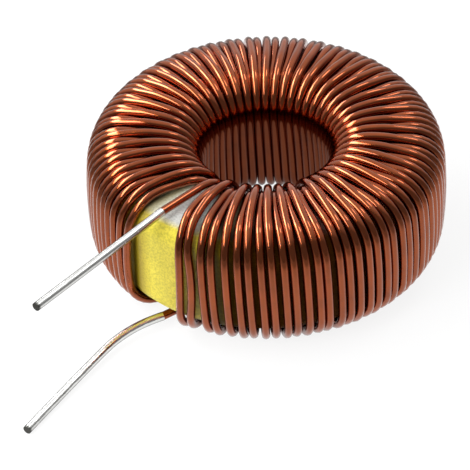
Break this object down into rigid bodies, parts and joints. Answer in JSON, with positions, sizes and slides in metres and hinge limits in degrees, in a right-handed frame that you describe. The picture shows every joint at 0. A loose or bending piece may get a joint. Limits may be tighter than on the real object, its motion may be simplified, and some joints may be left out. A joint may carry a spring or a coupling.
{
  "type": "toroidal inductor",
  "caption": "Painted ring core closely wound with enamelled copper wire, its tinned ends leaving side by side over and under the ring at a bare stretch of core.",
  "frame": {"origin": "centre of the ring core, on the axis of its hole at half its height", "axes": "+Z along the hole's axis, up as the part lies; -Y from the centre out through the bare stretch of core where the wire's ends leave"},
  "size_m": [0.0358, 0.0534, 0.0146],
  "materials": {
    "core_paint": "yellow paint with one face white, semi-matte",
    "enamelled_copper": "glossy clear brown wire enamel over copper",
    "solder": "bright dipped solder"
  },
  "bodies": {
    "root": {"core": "core_paint", "winding": "enamelled_copper", "lower_tinning": "solder", "upper_tinning": "solder"}
  },
  "joints": []
}
